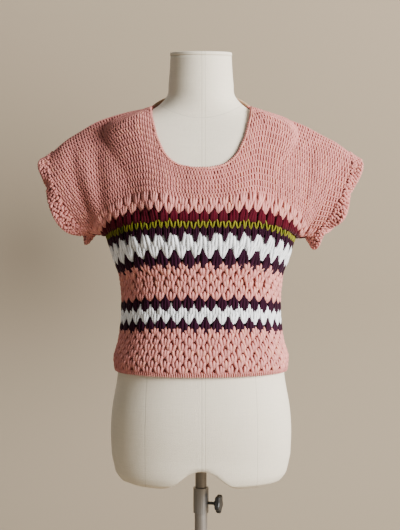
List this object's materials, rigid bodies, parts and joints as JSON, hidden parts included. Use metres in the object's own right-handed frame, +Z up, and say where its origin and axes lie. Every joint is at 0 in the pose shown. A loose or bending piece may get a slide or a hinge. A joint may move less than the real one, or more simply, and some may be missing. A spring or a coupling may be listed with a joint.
{
  "type": "crochet sweater on a dress form",
  "caption": "Crocheted short sweater with cap sleeves, shell-ruffled cuffs and striped cluster rows, worn by a limbless dress form on a telescoping pole with a round base.",
  "frame": {"origin": "middle of the base plate's underside, on the floor", "axes": "+Z up, the sweater's front faces -Y, the viewer's right is +X"},
  "size_m": [0.6232, 0.38, 1.5298],
  "materials": {
    "pink_yarn": "matte twisted pink yarn",
    "burgundy_yarn": "matte twisted burgundy yarn",
    "green_yarn": "thin matte olive green yarn",
    "purple_yarn": "matte twisted dark purple yarn",
    "white_yarn": "thick matte white yarn",
    "linen": "smooth stretched cream linen",
    "dark_steel": "worn dark steel",
    "grey_steel": "satin grey steel",
    "black_plastic": "satin black moulding",
    "base_paint": "satin dark grey paint"
  },
  "bodies": {
    "base": {"base_plate": "base_paint", "base_boss": "base_paint", "outer_tube": "grey_steel", "clamp_collar": "grey_steel"},
    "pole": {"inner_tube": "dark_steel"},
    "form": {"form_torso": "linen", "form_neck_cap": "linen", "body_front": "pink_yarn", "body_back": "pink_yarn", "yoke_front": "pink_yarn", "yoke_back": "pink_yarn", "sleeve_edging_left": "pink_yarn", "sleeve_edging_right": "pink_yarn", "neck_edging": "pink_yarn", "hem_edging": "pink_yarn"},
    "knob": {"clamp_screw": "black_plastic"}
  },
  "joints": [
    {"name": "pole_height", "type": "slide", "parent": "base", "child": "pole", "axis": [0, 0, 1], "range_m": [-0.02, 0.25]},
    {"name": "form_turn", "type": "hinge", "parent": "pole", "child": "form", "pos_m": [0, 0, 0.78], "axis": [0, 0, 1], "continuous": true},
    {"name": "clamp_turn", "type": "hinge", "parent": "base", "child": "knob", "pos_m": [0, 0, 0.655], "axis": [0.9659, -0.2588, 0], "range_deg": [0, 360]}
  ]
}
